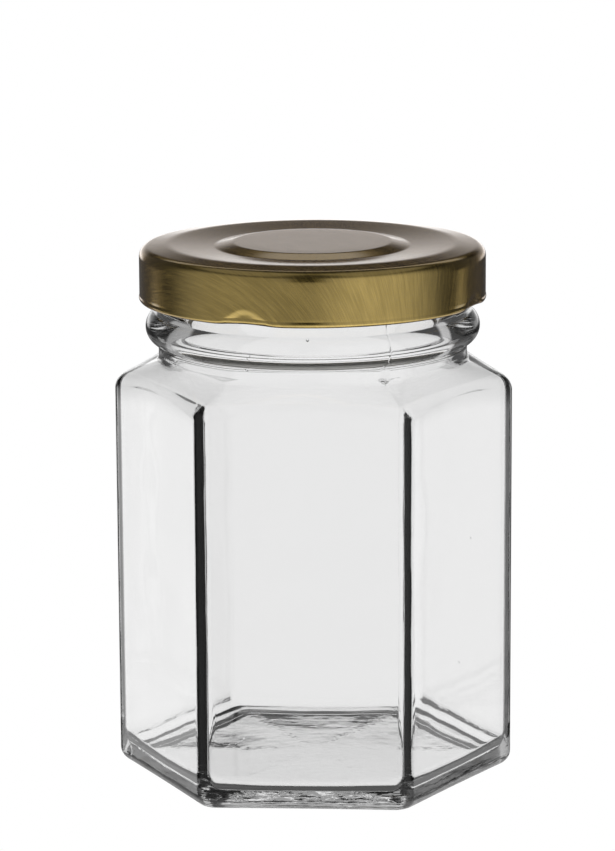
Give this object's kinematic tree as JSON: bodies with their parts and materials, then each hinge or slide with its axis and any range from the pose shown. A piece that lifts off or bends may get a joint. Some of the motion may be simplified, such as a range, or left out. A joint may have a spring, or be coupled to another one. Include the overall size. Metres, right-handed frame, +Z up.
{
  "type": "hexagonal glass jar",
  "caption": "Empty clear glass jar with hexagonal rounded-edge body, round beaded neck and a round gold twist-off metal lid.",
  "frame": {"origin": "centre of the base, on the plane that the jar stands on", "axes": "+Z up along the jar's axis, -Y out of the front flat, two of the six corners on the X axis"},
  "size_m": [0.0762, 0.0668, 0.1028],
  "materials": {
    "clear_glass": "clear moulded soda-lime glass, fire-polished",
    "gold_lacquer": "gold-olive lacquer over finely brushed tinplate, satin"
  },
  "bodies": {
    "root": {"jar": "clear_glass", "lid": "gold_lacquer"}
  },
  "joints": []
}
